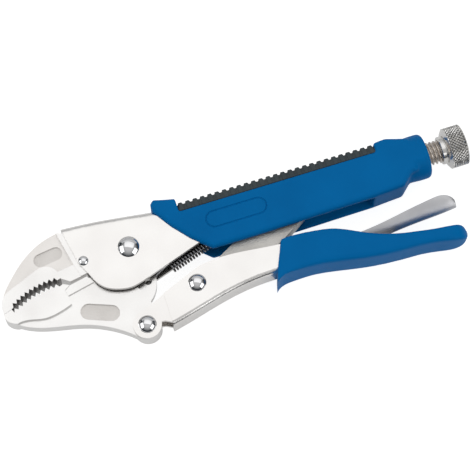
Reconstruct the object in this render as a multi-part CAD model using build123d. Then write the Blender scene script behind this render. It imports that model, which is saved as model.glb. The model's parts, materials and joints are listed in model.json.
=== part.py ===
from build123d import *
import os

# Locking pliers with curved jaws, 250 mm class, lying on their side.
# Millimetres. Design frame: origin on the jaw pivot, X along the upper handle
# towards the adjusting knob, Y across the tool towards the upper handle, Z through
# its thickness. The last section moves every node so that the origin is under the
# middle of the whole tool, on the plane it lies on.

# ---------------------------------------------------------------- driving dimensions
# pivots in the plane of the tool, jaws closed and handles locked
JAW_PIVOT = (0.0, 0.0)
HANDLE_PIVOT = (-2.5, -40.1)
LINK_PIVOT = (27.0, -27.6)
LINK_END = (98.5, 2.6)
LEVER_PIVOT = (101.0, -30.5)
JAW_RIVET = (-23.4, -0.2)
SPRING_HOLE = (4.4, -18.4)
SPRING_ANCHOR = (48.0, -4.6)
SCREW_Y = 3.3

# thickness stack, half widths about the middle plane
NOSE_HALF = 6.0
WEB_HALF = 4.0
CUTTER_HALF = 5.2
TAB_HALF = 2.2
SHEET = 2.2
CHANNEL_HALF = 6.1
FRAME_HALF = CHANNEL_HALF + SHEET
EAR_INNER = 4.1
EAR_HALF = EAR_INNER + SHEET
HANDLE_INNER = 5.3
HANDLE_HALF = HANDLE_INNER + SHEET
LINK_HALF = 5.0
LEVER_HALF = 5.1
GRIP_HALF = 10.8
REST_PLANE = -GRIP_HALF

# rivets and pins
FIXED_GAP = 0.02
RUNNING_GAP = 0.05
MAIN_SHANK = 4.0
MAIN_HEAD = 5.35
SMALL_SHANK = 3.2
SMALL_HEAD = 4.5
HEAD_RISE = 2.5
JAW_RIVET_SHANK = 1.6
JAW_RIVET_HEAD = 2.5
JAW_RIVET_RISE = 1.3
PIN_RADIUS = 1.6

# return spring, distances along its axis from the hole it hooks into
SPRING_RADIUS = 3.2
SPRING_WIRE = 1.0
LEG_START = 5.2
COIL_START = 13.0

# jaws
TEETH = 10
TOOTH_DEPTH = 1.7
HUB_RADIUS = 12.5
HUB_GAP = 1.0
EAR_RADIUS = 7.1
RECESS_DEPTH = 0.8

# screw, bush and knob along X
SCREW_RADIUS = 6.0
THREAD_PITCH = 2.0
THREAD_DEPTH = 1.1
SCREW_TIP_X = 108.8
ROD_END_X = 175.0
BUSH_START_X = 141.0
BUSH_END_X = 157.0
BUSH_RADIUS = 8.3
SHOULDER_X = 164.8
KNOB_FRONT_X = 167.5
KNOB_REAR_X = 178.0
KNOB_RADIUS = 10.6

# grips
GRIP_END_X = 157.6
LIP_SLOT_HALF = 7.0
SLOT_END_X = 124.6
GRIP_ROUND = 2.4
INSERT_START_X = 29.0
INSERT_LENGTH = 103.5
INSERT_LOW_Y = 9.3
RIB_COUNT = 27
RIB_WIDTH = 2.1
LOWER_SLOT_END_X = 134.0


# ---------------------------------------------------------------- helpers
def stretch(points, tangents=None):
    """One stretch of an outline: a line through two points, a curve through more."""
    if len(points) == 2:
        return Line(*points)
    return Spline(*points, tangents=tangents)


def outline(*stretches):
    """The face inside stretches that meet end to end."""
    edges = []
    for part in stretches:
        line = stretch(part) if isinstance(part, list) else part
        edges.extend(line.edges())
    return make_face(edges)


def polygon(*points):
    return make_face(Polyline(*points, close=True))


def slab(face, top, low=None):
    """A face in the plane of the tool, thickened from low (or -top) to top."""
    start = -top if low is None else low
    return extrude(Pos(0, 0, start) * face, amount=top - start, dir=(0, 0, 1))


def disc(centre, radius, top, low=None):
    start = -top if low is None else low
    return Pos(centre[0], centre[1], (start + top) / 2) * Cylinder(radius, top - start)


def block(low, high):
    size = [b - a for a, b in zip(low, high)]
    middle = [(a + b) / 2 for a, b in zip(low, high)]
    return Pos(*middle) * Box(*size)


def with_mirror(shape):
    """The shape and its mirror image on the other side of the tool."""
    return shape + shape.mirror(Plane.XY)


def turned(*profile):
    """A closed profile of (x, radius) points, revolved about the screw axis."""
    points = [(x, SCREW_Y + radius) for x, radius in profile]
    return revolve(polygon(*points), Axis((0, SCREW_Y, 0), (1, 0, 0)))


def rounded(shape, radius, chosen):
    """Fillet the long edges on both side faces whose middle passes the test."""
    reach = shape.bounding_box().max.Z
    edges = []
    for edge in shape.edges():
        box = edge.bounding_box()
        flat = box.max.Z - box.min.Z < 1e-3
        if flat and abs(abs(box.max.Z) - reach) < 1e-3 and chosen(edge.center()):
            edges.append(edge)
    return fillet(edges, radius)


def domed_rivet(centre, shank, head, face, rise):
    """A round shank between two plates, with a low dome on each outer face."""
    ball = (head ** 2 + rise ** 2) / (2 * rise)
    sphere = Pos(centre[0], centre[1], face + rise - ball) * Sphere(ball)
    dome = sphere & disc(centre, head + 1, face + rise + 1, face)
    return disc(centre, shank, face) + with_mirror(dome)


def toothed(curve):
    """A row of pointed teeth along a curve, starting and ending half way up a flank."""
    points = []
    for i in range(2 * TEETH + 1):
        at = curve @ (i / (2 * TEETH))
        along = curve % (i / (2 * TEETH))
        side = TOOTH_DEPTH / 2 if i % 2 else -TOOTH_DEPTH / 2
        points.append((at.X - along.Y * side, at.Y + along.X * side))
    return points


def oval(centre, length, width, angle, surface):
    """A shallow stadium-shaped recess in both faces."""
    pocket = Pos(centre[0], centre[1]) * Rot(0, 0, angle) * SlotOverall(length, width)
    return with_mirror(slab(pocket, surface + 1, surface - RECESS_DEPTH))


# ---------------------------------------------------------------- fixed jaw
JAW_BACK = [(-68.4, -12.0), (-66.9, -6.2), (-60.8, 2.0), (-50.6, 11.2), (-41.0, 16.4), (-32.5, 18.6)]
JAW_TIP = (-68.3, -14.0)
TIP_FLAT_END = (-63.9, -12.8)
UPPER_BITE = toothed(ThreePointArc((-63.3, -11.3), (-51.0, -5.7), (-38.4, -4.4)))
LOWER_BITE = toothed(ThreePointArc((-63.3, -14.0), (-51.0, -9.8), (-38.2, -7.9)))
FIXED_CUTTER = [(-36.6, -4.6), (-32.4, -7.5), (-24.0, -6.2), (-26.0, 0.6), (-38.0, -1.0), (-38.0, -4.0)]


def jaw_tang():
    """The rear of the fixed jaw, held between the frame's plates in front of the hub."""
    tang = polygon(
        (-32.5, 18.6),
        (-28.7, 0.6),
        (-26.6, -6.6),
        (-23.3, -6.1),
        (-11.5, -3.6),
        (-6.0, 10.5),
        (-6.0, 14.6),
        (-28.0, 16.6),
    )
    return slab(tang, NOSE_HALF) - disc(JAW_PIVOT, HUB_RADIUS + HUB_GAP, NOSE_HALF + 1)


def fixed_jaw():
    mouth = [Polyline(*UPPER_BITE), [UPPER_BITE[0], TIP_FLAT_END], [TIP_FLAT_END, JAW_TIP]]
    web = outline(
        JAW_BACK,
        Polyline(JAW_BACK[-1], (-26.5, 10.0), *reversed(FIXED_CUTTER[:3]), UPPER_BITE[-1]),
        *mouth,
        [JAW_TIP, JAW_BACK[0]],
    )
    step = [
        JAW_BACK[0],
        (-66.4, -6.0),
        (-56.3, -0.9),
        (-48.0, 2.5),
        (-42.0, 3.2),
        (-38.6, 1.0),
        FIXED_CUTTER[0],
    ]
    nose = outline(step, [FIXED_CUTTER[0], UPPER_BITE[-1]], *mouth, [JAW_TIP, JAW_BACK[0]])
    jaw = slab(web, WEB_HALF) + slab(nose, NOSE_HALF) + slab(polygon(*FIXED_CUTTER), CUTTER_HALF)
    jaw += jaw_tang()
    jaw -= oval((-39.6, 8.2), 15.0, 6.8, 8, WEB_HALF)
    return jaw - disc(JAW_RIVET, JAW_RIVET_SHANK + FIXED_GAP, NOSE_HALF + 1)


# ---------------------------------------------------------------- moving jaw
MOVING_TIP = [(-68.3, -14.1), (-68.2, -16.4), (-66.4, -18.9), (-63.0, -20.6)]
MOVING_BELLY = [
    (-63.0, -20.6),
    (-57.0, -24.0),
    (-43.7, -27.8),
    (-31.6, -30.6),
    (-18.4, -36.6),
    (-8.2, -44.4),
]
MOVING_CUTTER = [(-36.2, -11.2), (-33.4, -9.4), (-24.0, -7.5), (-21.4, -11.2), (-35.4, -14.2)]


def moving_web():
    """The thin plate of the moving jaw, from the nose to both pivots."""
    boss_low = (HANDLE_PIVOT[0], HANDLE_PIVOT[1] - EAR_RADIUS)
    boss_end = (HANDLE_PIVOT[0] + EAR_RADIUS, HANDLE_PIVOT[1])
    upper = Polyline(
        boss_end,
        (2.4, -28.2),
        (-1.8, -19.6),
        (0.0, -10.0),
        (-11.0, -5.6),
        (-24.0, -8.4),
        (-35.6, -11.6),
        (-50.0, -16.0),
        MOVING_BELLY[0],
    )
    return outline(MOVING_BELLY, ThreePointArc(MOVING_BELLY[-1], boss_low, boss_end), upper)


def moving_nose():
    """The full-width biting end, with its row of teeth."""
    under = [MOVING_TIP[-1], (-59.5, -20.2), (-49.4, -22.0), (-41.5, -21.0), (-35.0, -18.9)]
    rear = Polyline(under[-1], (-36.2, -11.2), (-33.4, -9.4), (-36.4, -7.9), LOWER_BITE[-1])
    front = Polyline(LOWER_BITE[0], (-63.9, -12.9), MOVING_TIP[0])
    return outline(MOVING_TIP, under, rear, Polyline(*LOWER_BITE), front)


def spring_tab():
    """The thin tongue behind the jaw's web that the spring hooks into."""
    edge = [(8.6, -8.0), (8.7, -18.0), (7.3, -22.6), (2.4, -28.6)]
    tongue = outline(edge, Polyline(edge[-1], (-4.0, -28.6), (-4.0, -8.0), edge[0]))
    return slab(tongue, TAB_HALF) - disc(SPRING_HOLE, 1.7, TAB_HALF + 1)


def moving_jaw():
    jaw = slab(moving_web(), WEB_HALF) + slab(moving_nose(), NOSE_HALF)
    jaw += slab(polygon(*MOVING_CUTTER), CUTTER_HALF)
    jaw += spring_tab() + disc(JAW_PIVOT, HUB_RADIUS, NOSE_HALF)
    jaw -= oval((-22.8, -26.8), 19.5, 8.2, -21, WEB_HALF)
    jaw -= disc(HANDLE_PIVOT, SMALL_SHANK + RUNNING_GAP, NOSE_HALF + 1)
    return jaw - disc(JAW_PIVOT, MAIN_SHANK + RUNNING_GAP, NOSE_HALF + 1)


# ---------------------------------------------------------------- upper frame
CROWN = [(60.0, 11.8), (40.0, 12.0), (16.1, 14.5), (-9.5, 17.9), (-29.8, 19.5)]
CROWN_BEND = 3.4
INNER_BEND = 1.2
FRAME_CORNER = (-26.2, 0.3)
FRAME_LOW = [(-21.0, -11.0), (-16.2, -16.9), (-8.0, -19.9), (5.6, -17.7)]
TAIL_LOW = -8.2


def frame_envelope():
    """The channel as if it were solid, with its two folded edges rounded."""
    side = outline(
        stretch(CROWN, tangents=[(-1, 0), (-1, 0.05)]),
        Polyline(CROWN[-1], FRAME_CORNER, FRAME_LOW[0]),
        stretch(FRAME_LOW, tangents=[(5.2, -11.3), (28.8, 9.0)]),
        Polyline(
            FRAME_LOW[-1],
            (34.6, TAIL_LOW),
            (BUSH_START_X, TAIL_LOW),
            (BUSH_START_X, CROWN[0][1]),
            CROWN[0],
        ),
    )
    return rounded(slab(side, FRAME_HALF), CROWN_BEND, lambda middle: middle.Y > 10.5)


def frame_hollow():
    """The space between the plates, open below and at both ends."""
    roof = [(x, y - SHEET) for x, y in CROWN]
    front = (roof[-1][0] - 5, roof[-1][1])
    rear = BUSH_START_X + 5
    space = outline(
        stretch(roof, tangents=[(-1, 0), (-1, 0.05)]),
        Polyline(roof[-1], front, (front[0], -30), (rear, -30), (rear, roof[0][1]), roof[0]),
    )
    return rounded(slab(space, CHANNEL_HALF), INNER_BEND, lambda middle: middle.Y > 5)


def upper_frame():
    frame = frame_envelope() - frame_hollow()
    frame -= disc(JAW_PIVOT, MAIN_SHANK + FIXED_GAP, FRAME_HALF + 1)
    frame -= disc(JAW_RIVET, JAW_RIVET_SHANK + FIXED_GAP, FRAME_HALF + 1)
    return frame - disc(SPRING_ANCHOR, PIN_RADIUS + FIXED_GAP, FRAME_HALF + 1)


def spring_anchor_pin():
    return disc(SPRING_ANCHOR, PIN_RADIUS, FRAME_HALF)


def return_spring():
    """A plain solid of the spring's outer shape: its coil and the straight leg of its hook."""
    start = Vector(*SPRING_HOLE)
    run = Vector(*SPRING_ANCHOR) - start
    along = run.normalized()
    side = Plane(origin=start, x_dir=(0, 0, 1), z_dir=along)
    from_start = (Align.CENTER, Align.CENTER, Align.MIN)
    leg = side.offset(LEG_START) * Cylinder(SPRING_WIRE / 2, COIL_START - LEG_START + 1, align=from_start)
    coil_length = run.length - COIL_START - PIN_RADIUS - SPRING_WIRE
    coil = side.offset(COIL_START) * Cylinder(SPRING_RADIUS, coil_length, align=from_start)
    return leg + coil


# ---------------------------------------------------------------- screw, bush and knob
def screw_bush():
    """The threaded boss welded to the end of the channel."""
    inner = SCREW_RADIUS + RUNNING_GAP
    return turned(
        (BUSH_START_X, inner),
        (BUSH_START_X, BUSH_RADIUS),
        (BUSH_END_X, BUSH_RADIUS),
        (BUSH_END_X, inner),
    )


def adjusting_screw():
    """The screw's rod: a groove for each turn of the thread, and a plain end for the knob."""
    profile = [(SCREW_TIP_X, 0), (SCREW_TIP_X, SCREW_RADIUS - 1.5), (SCREW_TIP_X + 1.5, SCREW_RADIUS)]
    for turn in range(1, int((SHOULDER_X - SCREW_TIP_X) / THREAD_PITCH) - 1):
        x = SCREW_TIP_X + turn * THREAD_PITCH
        profile.append((x + THREAD_PITCH / 2, SCREW_RADIUS - THREAD_DEPTH))
        profile.append((x + THREAD_PITCH, SCREW_RADIUS))
    neck = SCREW_RADIUS - THREAD_DEPTH
    profile += [(SHOULDER_X, SCREW_RADIUS), (SHOULDER_X, neck), (ROD_END_X, neck), (ROD_END_X, 0)]
    return turned(*profile)


def adjusting_knob():
    """The knob: a shoulder, a bevelled flange and a round band, bored for the rod."""
    bore = SCREW_RADIUS - THREAD_DEPTH + RUNNING_GAP
    return turned(
        (SHOULDER_X + 0.1, bore),
        (SHOULDER_X + 0.1, 7.2),
        (KNOB_FRONT_X - 0.8, 7.2),
        (KNOB_FRONT_X - 0.8, 6.4),
        (KNOB_FRONT_X, 6.4),
        (KNOB_FRONT_X, 8.6),
        (KNOB_FRONT_X + 1.2, KNOB_RADIUS),
        (KNOB_REAR_X - 0.8, KNOB_RADIUS),
        (KNOB_REAR_X, KNOB_RADIUS - 1.2),
        (KNOB_REAR_X, 0),
        (ROD_END_X + 0.5, 0),
        (ROD_END_X + 0.5, bore),
    )


# ---------------------------------------------------------------- upper grip and insert
GRIP_TOP = [(60.0, 14.7), (40.0, 15.2), (27.0, 17.2), (18.4, 19.4)]
GRIP_LOW = -12.6
SKIN = 1.1
COLLAR_START_X = 151.0
COLLAR_RADIUS = 11.6
COLLAR_CHAMFER = 1.4


def arch(half, top, corner, start_x, length, low_y=-30):
    """A bar along X whose section is flat on top with two rounded corners."""
    bar = block((start_x, low_y, -half), (start_x + length, top, half))
    return fillet(bar.edges().filter_by(Axis.X).sort_by(Axis.Y)[-2:], corner)


def insert_space(start_x, length):
    """All the room above the skin that covers the frame, over a stretch of the grip."""
    core = arch(FRAME_HALF + SKIN, CROWN[0][1] + SKIN, CROWN_BEND + SKIN, start_x, length)
    everything = block((start_x, INSERT_LOW_Y, -20), (start_x + length, 30, 20))
    return everything - core


def grip_block():
    """The grip as if it were solid: flat sides, rounded edges and a round rear collar."""
    side = outline(
        GRIP_TOP,
        Polyline(
            GRIP_TOP[-1],
            (16.4, 17.6),
            (16.4, 13.4),
            (22.8, 3.8),
            (30.4, -5.2),
            (39.7, GRIP_LOW - 1),
            (60.0, GRIP_LOW - 1),
            (SLOT_END_X, GRIP_LOW),
            (140.6, GRIP_LOW + 1),
            (146.5, -6.0),
            (150.0, -6.0),
            (150.0, 12.0),
            (144.8, 13.4),
            (139.0, 15.2),
            (133.0, 14.8),
            GRIP_TOP[0],
        ),
    )
    body = rounded(slab(side, GRIP_HALF), GRIP_ROUND, lambda middle: True)
    collar = turned(
        (138.0, 0),
        (138.0, GRIP_HALF),
        (COLLAR_START_X, COLLAR_RADIUS),
        (GRIP_END_X - COLLAR_CHAMFER, COLLAR_RADIUS),
        (GRIP_END_X, COLLAR_RADIUS - COLLAR_CHAMFER),
        (GRIP_END_X, 0),
    )
    between_flats = block((130, -30, -GRIP_HALF), (170, 40, GRIP_HALF))
    return body + (collar & between_flats)


def upper_grip():
    grip = grip_block() - frame_envelope()
    grip -= block((0, -30, -LIP_SLOT_HALF), (SLOT_END_X, TAIL_LOW + 1, LIP_SLOT_HALF))
    grip -= turned(
        (BUSH_START_X, 0),
        (BUSH_START_X, BUSH_RADIUS),
        (GRIP_END_X + 1, BUSH_RADIUS),
        (GRIP_END_X + 1, 0),
    )
    return grip - insert_space(INSERT_START_X, INSERT_LENGTH)


def upper_grip_insert():
    """The dark strip along the top of the grip, with a row of cross ribs."""
    strip = arch(GRIP_HALF - 0.6, 13.8, 4.6, INSERT_START_X, INSERT_LENGTH)
    pitch = INSERT_LENGTH / RIB_COUNT
    for i in range(RIB_COUNT):
        middle = INSERT_START_X + (i + 0.5) * pitch
        strip += arch(GRIP_HALF, 14.9, 5.4, middle - RIB_WIDTH / 2, RIB_WIDTH)
    return strip & insert_space(INSERT_START_X, INSERT_LENGTH)


# ---------------------------------------------------------------- lower handle
HANDLE_TOP = [
    (29.5, -19.9),
    (37.5, -18.8),
    (57.0, -19.6),
    (72.0, -21.1),
    (94.0, -22.4),
    (106.0, -26.2),
    (120.0, -32.2),
    (150.0, -39.2),
]
HANDLE_LOW = [
    (10.4, -44.7),
    (24.0, -41.4),
    (41.0, -37.2),
    (57.0, -34.9),
    (78.0, -35.0),
    (100.0, -37.2),
    (150.0, -42.2),
]
JOGGLE_X = 9.6
HANDLE_BEND = 2.6
HANDLE_CREASE = 1.0


def channel_side():
    return outline(
        Polyline(HANDLE_LOW[0], (JOGGLE_X, HANDLE_LOW[0][1] + 0.2), (JOGGLE_X, -27.8), HANDLE_TOP[0]),
        HANDLE_TOP,
        [HANDLE_TOP[-1], HANDLE_LOW[-1]],
        HANDLE_LOW,
    )


def handle_envelope():
    """The folded channel as if it were solid."""
    return rounded(
        slab(channel_side(), HANDLE_HALF),
        HANDLE_BEND,
        lambda middle: middle.Y < -33.0 and JOGGLE_X + 1 < middle.X < 149.0,
    )


def handle_hollow():
    """The space between the handle's plates, open above and at the front."""
    floor = [(x, y + SHEET) for x, y in HANDLE_LOW]
    far = floor[-1][0] + 5
    near = JOGGLE_X - 5
    space = outline(
        floor,
        Polyline(floor[-1], (far, floor[-1][1]), (far, 0), (near, 0), (near, floor[0][1]), floor[0]),
    )
    return rounded(
        slab(space, HANDLE_INNER),
        HANDLE_CREASE,
        lambda middle: middle.Y < -30 and 12 < middle.X < 149,
    )


def handle_ear():
    """One of the two flat ears outside the jaw, from its pivot back to the joggle."""
    x, y = HANDLE_PIVOT
    ear = polygon(
        (x, y + EAR_RADIUS - 0.1),
        (JOGGLE_X + 1, -27.4),
        (JOGGLE_X + 1, -43.2),
        (6.4, -41.0),
        (x, y),
    )
    plate = slab(ear, EAR_HALF, EAR_INNER) + disc(HANDLE_PIVOT, EAR_RADIUS, EAR_HALF, EAR_INNER)
    step = block((JOGGLE_X, -43.0, EAR_INNER), (JOGGLE_X + 1.6, -27.9, HANDLE_INNER + 1))
    return plate + step


def lower_handle():
    handle = handle_envelope() - handle_hollow() + with_mirror(handle_ear())
    handle -= disc(HANDLE_PIVOT, SMALL_SHANK + FIXED_GAP, HANDLE_HALF + 1)
    handle -= disc(LINK_PIVOT, SMALL_SHANK + FIXED_GAP, HANDLE_HALF + 1)
    return handle - disc(LEVER_PIVOT, PIN_RADIUS + FIXED_GAP, HANDLE_HALF + 1)


# ---------------------------------------------------------------- toggle link
LINK_EYE = 5.6
LINK_TIP = 5.6


def toggle_link():
    """The bar from the lower handle to the screw, with a deep belly for the release lever."""
    belly = [(31.0, -33.0), (48.0, -29.4), (66.0, -22.8), (77.0, -17.2), (87.4, -10.8), (101.0, -2.4)]
    top = [(95.4, 7.3), (62.0, -6.6), (40.5, -18.2), (34.0, -20.6), (25.0, -22.3)]
    bar = outline(belly, [belly[-1], top[0]], Polyline(*top), [top[-1], belly[0]])
    link = slab(bar, LINK_HALF)
    link += disc(LINK_PIVOT, LINK_EYE, LINK_HALF) + disc(LINK_END, LINK_TIP, LINK_HALF)
    return link - disc(LINK_PIVOT, SMALL_SHANK + RUNNING_GAP, LINK_HALF + 1)


# ---------------------------------------------------------------- release lever
LEVER_TOP = [
    (103.0, -27.0),
    (112.0, -26.6),
    (124.7, -25.1),
    (139.8, -22.5),
    (151.0, -20.8),
    (156.4, -20.4),
    (160.3, -21.5),
    (163.1, -24.1),
    (163.9, -27.4),
]
LEVER_BOTTOM = [
    (163.9, -27.4),
    (158.0, -28.1),
    (146.1, -28.9),
    (129.3, -30.3),
    (112.0, -32.8),
    (101.0, -34.3),
]
LEVER_SHEET = 1.5
LEVER_BEND = 2.4


def release_lever():
    """A pressed trough with a solid eye and nose at its front end."""
    side = outline(LEVER_TOP, LEVER_BOTTOM, [LEVER_BOTTOM[-1], LEVER_TOP[0]])
    body = rounded(
        slab(side, LEVER_HALF),
        LEVER_BEND,
        lambda middle: middle.Y < -27.5 and middle.X > 110,
    )
    floor = [(x, y + LEVER_SHEET) for x, y in LEVER_BOTTOM]
    hollow = outline(
        floor[1:-1],
        Polyline(floor[-2], (112.0, -15.0), (floor[1][0], -15.0), floor[1]),
    )
    body -= slab(hollow, LEVER_HALF - LEVER_SHEET)
    nose = polygon(
        (103.0, -27.0),
        (101.0, -34.3),
        (94.0, -30.0),
        (82.0, -21.8),
        (84.0, -18.4),
        (90.0, -21.0),
    )
    body += slab(nose, LEVER_HALF) + disc(LEVER_PIVOT, 3.8, LEVER_HALF)
    return body - disc(LEVER_PIVOT, PIN_RADIUS + RUNNING_GAP, LEVER_HALF + 1)


def lever_pin():
    return disc(LEVER_PIVOT, PIN_RADIUS, HANDLE_HALF)


# ---------------------------------------------------------------- lower grip
LOWER_TOP = [
    (72.7, -19.5),
    (78.3, -18.9),
    (88.5, -19.6),
    (99.9, -21.7),
    (112.1, -27.4),
    (126.0, -32.8),
    (140.7, -35.9),
]
LOWER_TIP = [(156.0, -37.6), (163.2, -39.6), (163.6, -43.4)]
LOWER_UNDER = [
    (149.0, -44.6),
    (128.2, -43.0),
    (107.8, -40.9),
    (88.0, -37.5),
    (74.8, -37.0),
    (67.0, -38.4),
    (64.6, -40.4),
]


def lower_grip():
    edge = LOWER_TOP + LOWER_TIP + LOWER_UNDER
    side = outline(edge, Polyline(edge[-1], (66.4, -34.3), (70.5, -25.0), edge[0]))
    body = slab(side, GRIP_HALF)
    body -= handle_envelope()
    above = [(x, y - 3.0) for x, y in LOWER_TOP]
    above[0] = (60.0, above[0][1])
    slot = polygon(*above[:6], (LOWER_SLOT_END_X, -36.0), (LOWER_SLOT_END_X, 0), (60.0, 0))
    return body - slab(slot, HANDLE_HALF)


# ---------------------------------------------------------------- rivets
def jaw_rivet():
    return domed_rivet(JAW_RIVET, JAW_RIVET_SHANK, JAW_RIVET_HEAD, FRAME_HALF, JAW_RIVET_RISE)


def main_rivet():
    return domed_rivet(JAW_PIVOT, MAIN_SHANK, MAIN_HEAD, FRAME_HALF, HEAD_RISE)


def small_rivet(pivot, half):
    return domed_rivet(pivot, SMALL_SHANK, SMALL_HEAD, half, HEAD_RISE)


# ---------------------------------------------------------------- the whole tool
def nodes():
    return {
        "upper_frame": upper_frame(),
        "fixed_jaw": fixed_jaw(),
        "fixed_jaw_rivet": jaw_rivet(),
        "main_pivot_rivet": main_rivet(),
        "spring_anchor_pin": spring_anchor_pin(),
        "return_spring": return_spring(),
        "screw_bush": screw_bush(),
        "upper_grip": upper_grip(),
        "upper_grip_insert": upper_grip_insert(),
        "moving_jaw": moving_jaw(),
        "lower_handle": lower_handle(),
        "handle_pivot_rivet": small_rivet(HANDLE_PIVOT, EAR_HALF),
        "link_rivet": small_rivet(LINK_PIVOT, HANDLE_HALF),
        "lever_pin": lever_pin(),
        "lower_grip": lower_grip(),
        "toggle_link": toggle_link(),
        "release_lever": release_lever(),
        "adjusting_screw": adjusting_screw(),
        "adjusting_knob": adjusting_knob(),
    }


def write_nodes():
    """Write every node, moved so that the tool lies on z = 0, centred on the origin."""
    shapes = nodes()
    boxes = [shape.bounding_box() for shape in shapes.values()]
    middle_x = (min(b.min.X for b in boxes) + max(b.max.X for b in boxes)) / 2
    middle_y = (min(b.min.Y for b in boxes) + max(b.max.Y for b in boxes)) / 2
    print("row origin in the design frame:", middle_x, middle_y, REST_PLANE)
    os.makedirs("parts", exist_ok=True)
    for name, shape in shapes.items():
        placed = Pos(-middle_x, -middle_y, -REST_PLANE) * shape
        placed.label = name
        export_step(placed, f"parts/{name}.step")


write_nodes()
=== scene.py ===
import json
import math

import bmesh
import bpy
from mathutils import Matrix, Vector
from mathutils.bvhtree import BVHTree


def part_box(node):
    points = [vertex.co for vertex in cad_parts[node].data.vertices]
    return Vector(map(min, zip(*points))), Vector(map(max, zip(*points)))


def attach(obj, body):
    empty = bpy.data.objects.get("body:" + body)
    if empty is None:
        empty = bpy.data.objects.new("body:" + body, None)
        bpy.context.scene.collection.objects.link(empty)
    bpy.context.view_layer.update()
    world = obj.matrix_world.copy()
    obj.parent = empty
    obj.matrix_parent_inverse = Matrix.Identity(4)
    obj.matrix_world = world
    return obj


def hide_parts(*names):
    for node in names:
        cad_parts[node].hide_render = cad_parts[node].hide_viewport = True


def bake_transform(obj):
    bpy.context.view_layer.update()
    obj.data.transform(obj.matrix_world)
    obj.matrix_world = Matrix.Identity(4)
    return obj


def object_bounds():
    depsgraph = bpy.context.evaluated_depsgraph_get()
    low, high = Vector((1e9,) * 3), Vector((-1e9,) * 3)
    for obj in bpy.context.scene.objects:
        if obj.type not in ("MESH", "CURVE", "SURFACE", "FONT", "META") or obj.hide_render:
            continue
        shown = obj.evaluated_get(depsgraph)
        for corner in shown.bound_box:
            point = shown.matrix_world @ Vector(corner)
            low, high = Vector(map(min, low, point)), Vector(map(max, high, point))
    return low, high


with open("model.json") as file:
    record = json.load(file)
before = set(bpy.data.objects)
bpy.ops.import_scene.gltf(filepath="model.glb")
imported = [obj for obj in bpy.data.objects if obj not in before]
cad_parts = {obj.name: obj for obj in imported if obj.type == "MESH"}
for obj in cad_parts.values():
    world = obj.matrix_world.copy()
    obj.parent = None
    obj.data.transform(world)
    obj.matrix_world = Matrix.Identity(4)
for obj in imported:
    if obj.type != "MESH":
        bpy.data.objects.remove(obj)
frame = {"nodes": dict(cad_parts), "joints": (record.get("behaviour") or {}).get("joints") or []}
cad_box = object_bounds()

MM = 0.001
JOINTS = {joint["name"]: joint for joint in frame["joints"]}
NODES = frame["nodes"]

# ---------------------------------------------------------------- places
# Millimetres in the tool's own plane: origin on the jaw pivot, X along the upper
# handle, Y across the tool, Z through its thickness from the middle plane.
PIVOT = Vector(JOINTS["jaw_pivot"]["pos_m"])
MIDDLE_Z = (cad_box[0][2] + cad_box[1][2]) / 2
SCREW_Y = (JOINTS["knob_turn"]["pos_m"][1] - PIVOT.y) / MM


def place(x, y, z=0.0):
    """A point of the tool's plane, in metres in the row frame."""
    return Vector((PIVOT.x + x * MM, PIVOT.y + y * MM, MIDDLE_Z + z * MM))


def reach(node):
    """A node's lowest and highest corner, in millimetres in the tool's plane."""
    low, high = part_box(node)
    shift = Vector((PIVOT.x, PIVOT.y, MIDDLE_Z))
    return (Vector(low) - shift) / MM, (Vector(high) - shift) / MM


# ---------------------------------------------------------------- materials
def new_material(name, colour, roughness, metallic=0.0):
    material = bpy.data.materials.new(name)
    material.use_nodes = True
    shader = material.node_tree.nodes["Principled BSDF"]
    shader.inputs["Base Color"].default_value = (*colour, 1)
    shader.inputs["Roughness"].default_value = roughness
    shader.inputs["Metallic"].default_value = metallic
    return material, shader


def add(material, kind, **values):
    """A new node, with its named input sockets set."""
    node = material.node_tree.nodes.new(kind)
    for key, value in values.items():
        node.inputs[key.replace("_", " ").title()].default_value = value
    return node


def link(material, source, target):
    material.node_tree.links.new(source, target)


def object_space(material):
    return add(material, "ShaderNodeTexCoord").outputs["Object"]


def noise(material, scale, detail=3.0, roughness=0.5, stretch=(1, 1, 1)):
    """Fractal noise over the object's own coordinates, in cycles per metre."""
    mapping = add(material, "ShaderNodeMapping", scale=stretch)
    link(material, object_space(material), mapping.inputs["Vector"])
    texture = add(material, "ShaderNodeTexNoise", scale=scale, detail=detail, roughness=roughness)
    link(material, mapping.outputs["Vector"], texture.inputs["Vector"])
    return texture.outputs["Fac"]


def ramp(material, factor, low, high, start=0.3, end=0.7):
    """Two colours blended by a factor."""
    node = material.node_tree.nodes.new("ShaderNodeValToRGB")
    node.color_ramp.elements[0].position = start
    node.color_ramp.elements[1].position = end
    node.color_ramp.elements[0].color = (*low, 1)
    node.color_ramp.elements[1].color = (*high, 1)
    link(material, factor, node.inputs["Fac"])
    return node.outputs["Color"]


def spread(material, factor, low, high):
    """A number between two limits, for a roughness that varies over the surface."""
    node = material.node_tree.nodes.new("ShaderNodeMapRange")
    node.inputs["To Min"].default_value = low
    node.inputs["To Max"].default_value = high
    link(material, factor, node.inputs["Value"])
    return node.outputs["Result"]


def relief(material, shader, heights):
    """Bump from several (height, depth in metres) pairs, one on top of the other."""
    normal = None
    for height, depth in heights:
        bump = add(material, "ShaderNodeBump", distance=depth, strength=1.0)
        link(material, height, bump.inputs["Height"])
        if normal is not None:
            link(material, normal, bump.inputs["Normal"])
        normal = bump.outputs["Normal"]
    link(material, normal, shader.inputs["Normal"])


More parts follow.
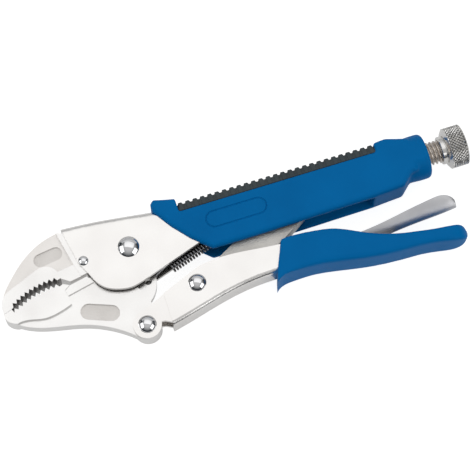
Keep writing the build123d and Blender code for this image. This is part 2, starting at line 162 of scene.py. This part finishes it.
def plated_metal(name, light, dark, rough_low, rough_high, grain_scale, grain_depth):
    """Plated steel: faint clouds in colour and gloss over a fine, even grain."""
    material, shader = new_material(name, light, rough_low, metallic=1.0)
    clouds = noise(material, 60, detail=4)
    link(material, ramp(material, clouds, dark, light), shader.inputs["Base Color"])
    gloss = noise(material, 240, detail=4)
    link(material, spread(material, gloss, rough_low, rough_high), shader.inputs["Roughness"])
    relief(material, shader, [
        (noise(material, grain_scale, detail=3, roughness=0.65), grain_depth),
        (noise(material, 90, detail=2), 0.00012),
    ])
    return material


def polished_metal():
    """A bright domed rivet: hairline swirls barely break the reflection."""
    material, shader = new_material("rivet_chrome", (0.86, 0.86, 0.87), 0.06, metallic=1.0)
    hairlines = noise(material, 900, detail=2, stretch=(1, 0.15, 1))
    link(material, spread(material, hairlines, 0.04, 0.11), shader.inputs["Roughness"])
    relief(material, shader, [(hairlines, 0.000004)])
    return material


def moulded_plastic(name, light, dark, rough_low, rough_high):
    """Satin moulded plastic with a fine spark-eroded texture."""
    material, shader = new_material(name, light, rough_low)
    clouds = noise(material, 45, detail=3)
    link(material, ramp(material, clouds, dark, light), shader.inputs["Base Color"])
    gloss = noise(material, 500, detail=3)
    link(material, spread(material, gloss, rough_low, rough_high), shader.inputs["Roughness"])
    relief(material, shader, [
        (noise(material, 4200, detail=2, roughness=0.6), 0.00002),
        (noise(material, 700, detail=2), 0.00002),
    ])
    shader.inputs["Specular IOR Level"].default_value = 0.04
    return material


MATERIALS = {
    "sheet": plated_metal(
        "satin_nickel_sheet", (0.90, 0.885, 0.865), (0.84, 0.82, 0.80),
        0.16, 0.26, 1700, 0.00003,
    ),
    "forging": plated_metal(
        "satin_nickel_forging", (0.90, 0.89, 0.875), (0.82, 0.805, 0.79),
        0.15, 0.26, 1300, 0.00004,
    ),
    # Tooth faces: the dark colour is painted shade of the deep gap between the jaws.
    "teeth": plated_metal(
        "teeth_painted_shade", (0.42, 0.41, 0.40), (0.30, 0.29, 0.28),
        0.35, 0.5, 1300, 0.00004,
    ),
    # Thread roots: the darker colour is painted shade in the groove.
    "groove": plated_metal(
        "thread_root_painted_shade", (0.54, 0.50, 0.46), (0.44, 0.41, 0.38),
        0.4, 0.6, 1300, 0.00002,
    ),
    "web": plated_metal(
        "grained_web", (0.91, 0.88, 0.85), (0.82, 0.79, 0.76),
        0.32, 0.46, 1200, 0.00006,
    ),
    # Sunk oval panels: the darker colour is painted shade in the recess; the rougher, coarser grain is the
    # finish.
    "panel": plated_metal(
        "sunk_panel_painted_shade", (0.84, 0.81, 0.78), (0.66, 0.63, 0.60),
        0.40, 0.55, 1200, 0.00012,
    ),
    # Knurl valleys: near-black colour, painted shade between the diamonds.
    "knurl": plated_metal(
        "knurl_valley_painted_shade", (0.13, 0.13, 0.13), (0.09, 0.09, 0.09),
        0.4, 0.6, 1300, 0.00002,
    ),
    "link": plated_metal(
        "blasted_link", (0.70, 0.68, 0.64), (0.50, 0.48, 0.45),
        0.34, 0.50, 1100, 0.00025,
    ),
    "lever": plated_metal(
        "satin_lever", (0.68, 0.68, 0.69), (0.54, 0.54, 0.56),
        0.42, 0.54, 1100, 0.00004,
    ),
    "thread": plated_metal(
        "rolled_thread", (0.74, 0.68, 0.62), (0.58, 0.52, 0.46),
        0.14, 0.24, 1500, 0.00002,
    ),
    "knob": plated_metal(
        "knurled_steel", (0.82, 0.81, 0.79), (0.72, 0.71, 0.69),
        0.14, 0.24, 1800, 0.000015,
    ),
    "spring": plated_metal(
        "dark_spring_wire", (0.34, 0.34, 0.35), (0.22, 0.22, 0.23),
        0.10, 0.20, 1500, 0.00001,
    ),
    "rivet": polished_metal(),
    "blue": moulded_plastic(
        "blue_grip", (0.0, 0.158, 0.45), (0.0, 0.142, 0.41),
        0.36, 0.46,
    ),
    "grey": moulded_plastic(
        "grey_insert", (0.075, 0.090, 0.096), (0.058, 0.071, 0.077),
        0.55, 0.70,
    ),
}


def finish_with(obj, material):
    obj.data.materials.clear()
    obj.data.materials.append(MATERIALS[material])


def finish_faces(obj, material, chosen):
    """A second material on the faces whose centre, in the tool's plane, and normal pass a test."""
    obj.data.materials.append(MATERIALS[material])
    slot = len(obj.data.materials) - 1
    for face in obj.data.polygons:
        centre = (face.center - Vector((PIVOT.x, PIVOT.y, MIDDLE_Z))) / MM
        if chosen(centre, face.normal):
            face.material_index = slot


# ---------------------------------------------------------------- mesh helpers
def new_piece(name, mesh):
    piece = bpy.data.objects.new(name, mesh)
    bpy.context.scene.collection.objects.link(piece)
    return piece


def apply_modifiers(piece):
    """The piece's mesh, with all of its modifiers applied."""
    graph = bpy.context.evaluated_depsgraph_get()
    mesh = bpy.data.meshes.new_from_object(piece.evaluated_get(graph))
    piece.modifiers.clear()
    piece.data = mesh


def shade_smooth(piece, angle=35):
    for polygon in piece.data.polygons:
        polygon.use_smooth = True
    bm = bmesh.new()
    bm.from_mesh(piece.data)
    for edge in bm.edges:
        edge.smooth = edge.calc_face_angle(0.0) < math.radians(angle)
    bm.to_mesh(piece.data)
    bm.free()


def skin(name, rings, closed_ends=True):
    """A surface through rings of points that all have the same number of points."""
    bm = bmesh.new()
    loops = [[bm.verts.new(point) for point in ring] for ring in rings]
    count = len(loops[0])
    for a, b in zip(loops, loops[1:]):
        for i in range(count):
            j = (i + 1) % count
            bm.faces.new((a[i], a[j], b[j], b[i]))
    if closed_ends:
        bm.faces.new(loops[0][::-1])
        bm.faces.new(loops[-1])
    else:
        bmesh.ops.remove_doubles(bm, verts=bm.verts, dist=1e-7)
    bmesh.ops.recalc_face_normals(bm, faces=bm.faces)
    mesh = bpy.data.meshes.new(name)
    bm.to_mesh(mesh)
    bm.free()
    return new_piece(name, mesh)


def off_axis(spot):
    """Distance from the screw's axis, in millimetres."""
    return math.hypot(spot.y - SCREW_Y, spot.z)


def steps(start, end, size):
    """Evenly spaced numbers from start to end, about size apart."""
    count = max(1, round((end - start) / size))
    return [start + (end - start) * i / count for i in range(count + 1)]


def tube(name, path, radius, sides=10, closed=False):
    """A round wire along a path, its section carried along without twisting."""
    rings = []
    side = Vector((0, 0, 1))
    for i, point in enumerate(path):
        ahead = path[(i + 1) % len(path)] if closed else path[min(i + 1, len(path) - 1)]
        behind = path[i - 1] if closed else path[max(i - 1, 0)]
        along = (ahead - behind).normalized()
        side = (side - along * side.dot(along)).normalized()
        other = along.cross(side)
        angles = [2 * math.pi * k / sides for k in range(sides)]
        rings.append([point + (side * math.cos(a) + other * math.sin(a)) * radius for a in angles])
    if closed:
        rings.append(rings[0])
    return skin(name, rings, closed_ends=not closed)


def clean_copy(node, name):
    """A copy of a node's mesh with whole flat faces, ready for bevels."""
    bm = bmesh.new()
    bm.from_mesh(NODES[node].data)
    bmesh.ops.remove_doubles(bm, verts=bm.verts, dist=2e-6)
    bmesh.ops.dissolve_limit(bm, angle_limit=math.radians(0.8), verts=bm.verts, edges=bm.edges)
    mesh = bpy.data.meshes.new(name)
    bm.to_mesh(mesh)
    bm.free()
    return new_piece(name, mesh)


def bevelled(node, name, width, material, body):
    """A metal part with its sharp edges broken and its flats kept flat in the shading."""
    piece = clean_copy(node, name)
    bevel = piece.modifiers.new("edges", "BEVEL")
    bevel.width = width * MM
    bevel.segments = 2
    bevel.limit_method = "ANGLE"
    bevel.angle_limit = math.radians(28)
    bevel.use_clamp_overlap = True
    apply_modifiers(piece)
    shade_smooth(piece, 50)
    weighted = piece.modifiers.new("flats", "WEIGHTED_NORMAL")
    weighted.keep_sharp = True
    apply_modifiers(piece)
    return join_frame(piece, node, material, body)


def moulded(node, name, voxel, passes, soft_from, soft_passes):
    """A moulded part: the node's shape with every edge softened, more so beyond soft_from in X."""
    piece = clean_copy(node, name)
    remesh = piece.modifiers.new("voxels", "REMESH")
    remesh.mode = "VOXEL"
    remesh.voxel_size = voxel * MM
    apply_modifiers(piece)
    bm = bmesh.new()
    bm.from_mesh(piece.data)
    for i in range(passes + soft_passes):
        limit = place(soft_from + (i - passes) * 0.3, 0).x
        chosen = bm.verts if i < passes else [v for v in bm.verts if v.co.x > limit]
        bmesh.ops.smooth_vert(bm, verts=chosen, factor=0.5, use_axis_x=True, use_axis_y=True, use_axis_z=True)
    bm.to_mesh(piece.data)
    bm.free()
    return piece


def carve(piece, cutter):
    """Cut one closed piece out of another."""
    cut = piece.modifiers.new("cut", "BOOLEAN")
    cut.object = cutter
    cut.operation = "DIFFERENCE"
    cut.solver = "MANIFOLD"
    apply_modifiers(piece)
    bpy.data.objects.remove(cutter)


def join_frame(piece, node, material, body):
    finish_with(piece, material)
    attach(piece, body)
    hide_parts(node)
    return piece


# ---------------------------------------------------------------- plain CAD nodes that stay
RIVETS = ("fixed_jaw_rivet", "main_pivot_rivet", "handle_pivot_rivet", "link_rivet")
PINS = ("spring_anchor_pin", "lever_pin")
for node in RIVETS + PINS:
    finish_with(NODES[node], "rivet")
finish_with(NODES["screw_bush"], "sheet")

# ---------------------------------------------------------------- stamped and forged steel
EDGE_BREAK = 0.5
LINK_EDGE_BREAK = 0.3
# The teeth lie in this part of the tool's plane.
BITE_START, BITE_END = -65.5, -36.0
BITE_LOW, BITE_HIGH = -16.5, -3.0
# Distances of flat faces from the middle plane, and how exactly a face has to match.
WEB_LEVEL = 4.0
PANEL_LEVEL = 3.2
LEVEL_MATCH = 0.25
# Limits on the parts of a face's unit normal.
UPRIGHT = 0.5
TURNED_AWAY = -0.3


def at_level(spot, normal, level):
    """Whether a face lies flat at this distance, in millimetres, from the middle plane."""
    return abs(normal.z) > UPRIGHT and abs(abs(spot.z) - level) < LEVEL_MATCH


def in_bite(spot, normal, facing):
    """Whether a face is one of the jaw's teeth, which face the other jaw."""
    inside = BITE_START < spot.x < BITE_END and BITE_LOW < spot.y < BITE_HIGH
    return inside and abs(normal.z) < UPRIGHT and normal.y * facing > TURNED_AWAY


bevelled("upper_frame", "frame_channel", EDGE_BREAK, "sheet", "frame")
bevelled("lower_handle", "handle_channel", EDGE_BREAK, "sheet", "lower_handle")
fixed = bevelled("fixed_jaw", "jaw_fixed", EDGE_BREAK, "forging", "frame")
moving = bevelled("moving_jaw", "jaw_moving", EDGE_BREAK, "forging", "moving_jaw")
# The tooth faces get the dark teeth material: painted shade of the gap between the jaws.
finish_faces(fixed, "teeth", lambda spot, normal: in_bite(spot, normal, -1))
finish_faces(moving, "teeth", lambda spot, normal: in_bite(spot, normal, 1))
finish_faces(fixed, "web", lambda spot, normal: at_level(spot, normal, WEB_LEVEL))
# The sunk panels get a darker material: painted shade in the recess.
for jaw in (fixed, moving):
    finish_faces(jaw, "panel", lambda spot, normal: at_level(spot, normal, PANEL_LEVEL))
bevelled("toggle_link", "link_bar", LINK_EDGE_BREAK, "link", "toggle_link")

# ---------------------------------------------------------------- grips
LABEL_CENTRE = (56.0, 0.2)
LABEL_LENGTH = 31.0
LABEL_WIDTH = 8.3
LABEL_LINE = 0.42


def label_outline(z):
    """The capsule-shaped line that is engraved on the grip's side."""
    half = (LABEL_LENGTH - LABEL_WIDTH) / 2
    path = []
    for i in range(48):
        angle = 2 * math.pi * i / 48
        end = half if math.cos(angle) > 0 else -half
        x = LABEL_CENTRE[0] + end + LABEL_WIDTH / 2 * math.cos(angle)
        y = LABEL_CENTRE[1] + LABEL_WIDTH / 2 * math.sin(angle)
        path.append(place(x, y, z))
    return path


def upper_grip():
    low, high = reach("upper_grip")
    piece = moulded("upper_grip", "grip_upper", 0.45, passes=5, soft_from=127, soft_passes=14)
    for z in (low.z, high.z):
        carve(piece, tube("label_line", label_outline(z), LABEL_LINE * MM, sides=8, closed=True))
    shade_smooth(piece, 50)
    join_frame(piece, "upper_grip", "blue", "frame")


# Length of the lower grip, from its tip, over which it narrows.
TIP_ROUND = 17.0


def round_tip(piece):
    """Narrow the lower grip to a round tip in plan."""
    end = max(vertex.co.x for vertex in piece.data.vertices)
    for vertex in piece.data.vertices:
        past = max(0.0, 1 - (end - vertex.co.x) / (TIP_ROUND * MM))
        narrow = math.sqrt(max(0.05, 1 - past ** 3))
        vertex.co.z = MIDDLE_Z + (vertex.co.z - MIDDLE_Z) * narrow


def lower_grip():
    piece = moulded("lower_grip", "grip_lower", 0.55, passes=5, soft_from=70, soft_passes=44)
    round_tip(piece)
    shade_smooth(piece, 60)
    join_frame(piece, "lower_grip", "blue", "lower_handle")


def grip_insert():
    piece = moulded("upper_grip_insert", "grip_insert", 0.3, passes=3, soft_from=200, soft_passes=0)
    shade_smooth(piece, 60)
    join_frame(piece, "upper_grip_insert", "grey", "frame")


upper_grip()
lower_grip()
grip_insert()

# ---------------------------------------------------------------- release lever
LEVER_SHEET = 1.3
RIM_ANGLE = math.radians(14)
TIP_LENGTH = 9.0
# The trough stops just short of the CAD tip. The nose is kept from the CAD and laps into it.
TIP_SHORT = 0.8
NOSE_LENGTH = 28
NOSE_LAP = 2


def heights(node):
    """Two functions of x: the height of a node's rim, and of its under side at the middle."""
    bm = bmesh.new()
    bm.from_mesh(NODES[node].data)
    tree = BVHTree.FromBMesh(bm)
    bm.free()
    low, high = reach(node)
    wall = high.z - 0.4
    middle = 0.1

    def rim(x):
        hit = tree.ray_cast(place(x, high.y + 5, wall), Vector((0, -1, 0)))[0]
        return (hit.y - PIVOT.y) / MM

    def under(x):
        hit = tree.ray_cast(place(x, low.y - 5, middle), Vector((0, 1, 0)))[0]
        return (hit.y - PIVOT.y) / MM

    return rim, under


def lever_section(x, rim, under, low, high):
    """The sheet's section at x: part of an ellipse outside and another inside."""
    past = max(0.0, (x - (high.x - TIP_LENGTH)) / TIP_LENGTH)
    width = high.z * math.sqrt(max(0.02, 1 - past ** 3))
    top, bottom = rim(x), under(x)
    depth = max(0.3, top - bottom)
    sheet = min(LEVER_SHEET, depth * 0.45)
    loop = []
    for inset in (0.0, sheet):
        side = []
        for i in range(25):
            angle = RIM_ANGLE + (math.pi - 2 * RIM_ANGLE) * i / 24
            z = (width - inset) * math.cos(angle) / math.cos(RIM_ANGLE)
            drop = (math.sin(angle) - math.sin(RIM_ANGLE)) / (1 - math.sin(RIM_ANGLE))
            side.append((x, top - (depth - inset) * drop, z))
        loop += side if inset == 0 else side[::-1]
    return [place(*point) for point in loop]


def release_lever():
    """The pressed trough, with the nose and eye that turn on the pin inside the handle."""
    rim, under = heights("release_lever")
    low, high = reach("release_lever")
    start = low.x + NOSE_LENGTH
    stations = steps(start, high.x - TIP_SHORT, 1.0)
    piece = skin("lever_trough", [lever_section(x, rim, under, low, high) for x in stations])
    shade_smooth(piece, 60)
    join_frame(piece, "release_lever", "lever", "release_lever")
    nose = clean_copy("release_lever", "lever_nose")
    bm = bmesh.new()
    bm.from_mesh(nose.data)
    parts = bm.verts[:] + bm.edges[:] + bm.faces[:]
    cut = place(start + NOSE_LAP, 0)
    bmesh.ops.bisect_plane(bm, geom=parts, plane_co=cut, plane_no=(1, 0, 0), clear_outer=True)
    bmesh.ops.holes_fill(bm, edges=bm.edges)
    bm.to_mesh(nose.data)
    bm.free()
    shade_smooth(nose, 35)
    join_frame(nose, "release_lever", "lever", "release_lever")


# ---------------------------------------------------------------- screw and knob
THREAD_PITCH = 2.0
THREAD_DEPTH = 1.15
# Metal deeper than this share of a thread or a knurl is a groove, coloured darker there as painted shade.
GROOVE_SHARE = 0.7
VALLEY_SHARE = 0.8
SCREW_LOW, SCREW_HIGH = reach("adjusting_screw")
KNOB_LOW, KNOB_HIGH = reach("adjusting_knob")
SCREW_RADIUS = (SCREW_HIGH.y - SCREW_LOW.y) / 2
KNOB_RADIUS = (KNOB_HIGH.y - KNOB_LOW.y) / 2


def turned_piece(name, stations, around, radius_at):
    """A closed surface about the screw axis: radius_at(x, angle) at each station."""
    rings = []
    for x in stations:
        ring = []
        for i in range(around):
            angle = 2 * math.pi * i / around
            radius = radius_at(x, angle)
            ring.append(place(x, SCREW_Y + radius * math.cos(angle), radius * math.sin(angle)))
        rings.append(ring)
    return skin(name, rings)


def between(x, profile):
    """The radius at x of a profile of (x, radius) points."""
    for (x0, r0), (x1, r1) in zip(profile, profile[1:]):
        if x <= x1:
            return r0 + (r1 - r0) * max(0.0, x - x0) / max(1e-6, x1 - x0)
    return profile[-1][1]


def thread_radius(x, angle):
    """A trapezoid thread on the helix, with a bevelled tip and a plain tail inside the knob."""
    phase = (x / THREAD_PITCH - angle / (2 * math.pi)) % 1.0
    rise = min(1.0, max(0.0, (abs(phase - 0.5) - 0.10) / 0.28))
    crest = SCREW_RADIUS - THREAD_DEPTH * rise
    bevel = SCREW_RADIUS - 1.5 + (x - SCREW_LOW.x)
    tail = SCREW_RADIUS - THREAD_DEPTH if x > KNOB_LOW.x else SCREW_RADIUS
    return min(crest, bevel, tail)


def adjusting_screw():
    piece = turned_piece("screw_rod", steps(SCREW_LOW.x, SCREW_HIGH.x, 0.14), 72, thread_radius)
    shade_smooth(piece, 50)
    join_frame(piece, "adjusting_screw", "thread", "adjusting_screw")
    root = SCREW_RADIUS - THREAD_DEPTH * GROOVE_SHARE
    first = SCREW_LOW.x + THREAD_PITCH
    # Faces at the thread's root get the darker groove material: painted shade.
    finish_faces(piece, "groove", lambda spot, normal: off_axis(spot) < root and spot.x > first)


DIAMONDS = 36
KNURL_DEPTH = 0.8


def knurl(x, angle):
    """Height of a diamond knurl: the lower of two crossing rows of ridges."""
    pitch = 2 * math.pi * KNOB_RADIUS / DIAMONDS
    right = abs((angle * KNOB_RADIUS + x) / pitch % 1.0 - 0.5) * 2
    left = abs((angle * KNOB_RADIUS - x) / pitch % 1.0 - 0.5) * 2
    return 1.0 - max(right, left)


def adjusting_knob():
    front, rear = KNOB_LOW.x, KNOB_HIGH.x
    flange = front + 2.6
    profile = [
        (front, 6.2),
        (front + 0.01, 6.9),
        (front + 0.3, 7.2),
        (flange - 0.8, 7.2),
        (flange - 0.75, 6.4),
        (flange - 0.05, 6.4),
        (flange, 8.4),
        (flange + 0.15, 8.8),
        (flange + 1.3, KNOB_RADIUS - 0.1),
        (flange + 1.6, KNOB_RADIUS),
        (rear - 1.1, KNOB_RADIUS),
        (rear - 0.6, KNOB_RADIUS - 0.3),
        (rear - 0.15, KNOB_RADIUS - 1.1),
        (rear, KNOB_RADIUS - 1.6),
    ]
    band = (flange + 1.4, rear - 0.9)

    def radius_at(x, angle):
        radius = between(x, profile)
        if band[0] < x < band[1]:
            radius -= KNURL_DEPTH * (1 - knurl(x, angle))
        return radius

    corners = sorted([x for x, _ in profile] + steps(band[0], band[1], 0.15))
    piece = turned_piece("knob_body", corners, DIAMONDS * 10, radius_at)
    shade_smooth(piece, 30)
    join_frame(piece, "adjusting_knob", "knob", "adjusting_knob")
    valley = KNOB_RADIUS - KNURL_DEPTH * VALLEY_SHARE

    def in_valley(spot, normal):
        return band[0] < spot.x < band[1] and off_axis(spot) < valley

    # The knurl's valley faces get the near-black material: painted shade.
    finish_faces(piece, "knurl", in_valley)


release_lever()
adjusting_screw()
adjusting_knob()

# ---------------------------------------------------------------- return spring
SPRING_HOOK = (4.4, -18.4)
SPRING_ANCHOR = (48.0, -4.6)
HOOK_RADIUS = 1.9
HOOK_DROP = 2.4
ANCHOR_RADIUS = 2.1
WIRE = 1.15
COIL_RADIUS = 2.65
COIL_PITCH = 1.65
COIL_SIDES = 20
COIL_SPAN = (13.5, 42.0)


def spring_path():
    """Hook through the jaw's tab, straight leg, close coils, hook round the anchor pin."""
    start = Vector((*SPRING_HOOK, 0))
    along = (Vector((*SPRING_ANCHOR, 0)) - start).normalized()
    across = Vector((-along.y, along.x, 0))
    through = Vector((0, 0, 1))
    path = []
    for i in range(9):
        angle = math.radians(20 - 25 * i)
        path.append(start - along * HOOK_RADIUS * math.cos(angle) + through * HOOK_DROP * math.sin(angle))
    turns = (COIL_SPAN[1] - COIL_SPAN[0]) / COIL_PITCH
    path.append(start + along * 6.0 + across * 1.2)
    path.append(start + along * (COIL_SPAN[0] - 1.5) + across * 2.2)
    for i in range(int(turns * COIL_SIDES) + 1):
        angle = 2 * math.pi * i / COIL_SIDES
        path.append(
            start
            + along * (COIL_SPAN[0] + COIL_PITCH * i / COIL_SIDES)
            + across * COIL_RADIUS * math.cos(angle)
            + through * COIL_RADIUS * math.sin(angle)
        )
    end = Vector((*SPRING_ANCHOR, 0))
    for i in range(12):
        angle = math.radians(200 - 25 * i)
        path.append(end + (along * math.cos(angle) + across * math.sin(angle)) * ANCHOR_RADIUS)
    return [place(*point) for point in path]


def return_spring():
    piece = tube("spring_coil", spring_path(), WIRE / 2 * MM)
    shade_smooth(piece, 60)
    finish_with(piece, "spring")
    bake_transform(piece)
    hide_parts("return_spring")


return_spring()


# ---------------------------------------------------------------- studio
TILT = math.radians(17.0)
ROLL = math.radians(17.6)
CAMERA_DISTANCE = 1.0
VIEW_WIDTH = 0.235
SENSOR = 36.0
LOOK_AT = place(52.8, -7.75)
RIGHT = Vector((math.cos(ROLL), -math.sin(ROLL), 0))
AWAY = Vector((math.sin(ROLL), math.cos(ROLL), 0))


def make_camera():
    """Looks down on the tool's side, tilted so that its under edges show."""
    toward = Vector((0, 0, math.cos(TILT))) - AWAY * math.sin(TILT)
    up = AWAY * math.cos(TILT) + Vector((0, 0, math.sin(TILT)))
    data = bpy.data.cameras.new("camera")
    data.sensor_width = SENSOR
    data.lens = SENSOR * CAMERA_DISTANCE / VIEW_WIDTH
    camera = bpy.data.objects.new("camera", data)
    bpy.context.scene.collection.objects.link(camera)
    turn = Matrix((RIGHT, up, toward)).transposed().to_4x4()
    camera.matrix_world = Matrix.Translation(LOOK_AT + toward * CAMERA_DISTANCE) @ turn
    bpy.context.scene.camera = camera


def make_floor():
    """A plain white floor. It glows, and more so to the camera, which hides most of the shadow."""
    mesh = bpy.data.meshes.new("floor")
    half = 3.0
    corners = [(-half, -half, 0), (half, -half, 0), (half, half, 0), (-half, half, 0)]
    mesh.from_pydata(corners, [], [(0, 1, 2, 3)])
    floor = new_piece("floor", mesh)
    material, shader = new_material("white_floor", (0.42, 0.42, 0.42), 0.9)
    shader.inputs["Specular IOR Level"].default_value = 0.0
    shader.inputs["Emission Color"].default_value = (1, 1, 1, 1)
    ray = material.node_tree.nodes.new("ShaderNodeLightPath")
    glow = spread(material, ray.outputs["Is Camera Ray"], 0.38, 0.88)
    link(material, glow, shader.inputs["Emission Strength"])
    floor.data.materials.append(material)


def make_softbox(name, azimuth, elevation, width, height, brightness, distance=1.2):
    """A panel seen from the tool at an azimuth from the picture's right, and an elevation."""
    flat = RIGHT * math.cos(math.radians(azimuth)) + AWAY * math.sin(math.radians(azimuth))
    rise = math.radians(elevation)
    direction = flat * math.cos(rise) + Vector((0, 0, math.sin(rise)))
    sideways = Vector((0, 0, 1)).cross(direction).normalized()
    upward = direction.cross(sideways)
    data = bpy.data.lights.new(name, "AREA")
    data.shape = "RECTANGLE"
    data.size = 2 * distance * math.tan(math.radians(width / 2))
    data.size_y = 2 * distance * math.tan(math.radians(height / 2))
    data.energy = math.pi * data.size * data.size_y * brightness
    lamp = bpy.data.objects.new(name, data)
    turn = Matrix((sideways, upward, direction)).transposed().to_4x4()
    lamp.matrix_world = Matrix.Translation(LOOK_AT + direction * distance) @ turn
    bpy.context.scene.collection.objects.link(lamp)


def make_world():
    """A dim room: dark walls, a pale ceiling."""
    world = bpy.data.worlds.new("studio")
    world.use_nodes = True
    nodes = world.node_tree.nodes
    links = world.node_tree.links
    direction = nodes.new("ShaderNodeTexCoord").outputs["Generated"]
    split = nodes.new("ShaderNodeSeparateXYZ")
    links.new(direction, split.inputs["Vector"])
    shade = nodes.new("ShaderNodeValToRGB")
    shade.color_ramp.elements[0].position = 0.25
    shade.color_ramp.elements[0].color = (0.03, 0.035, 0.04, 1)
    shade.color_ramp.elements[1].position = 0.9
    shade.color_ramp.elements[1].color = (0.55, 0.55, 0.55, 1)
    links.new(split.outputs["Z"], shade.inputs["Fac"])
    links.new(shade.outputs["Color"], nodes["Background"].inputs["Color"])
    bpy.context.scene.world = world


make_camera()
make_floor()
make_world()
make_softbox("overhead", azimuth=83, elevation=64, width=76, height=52, brightness=0.54)
make_softbox("far_wall", azimuth=90, elevation=18, width=100, height=34, brightness=0.42)
make_softbox("left_window", azimuth=190, elevation=27, width=46, height=34, brightness=1.5)
make_softbox("right_window", azimuth=-27, elevation=28, width=44, height=34, brightness=1.5)
bpy.context.scene.view_settings.view_transform = "Standard"
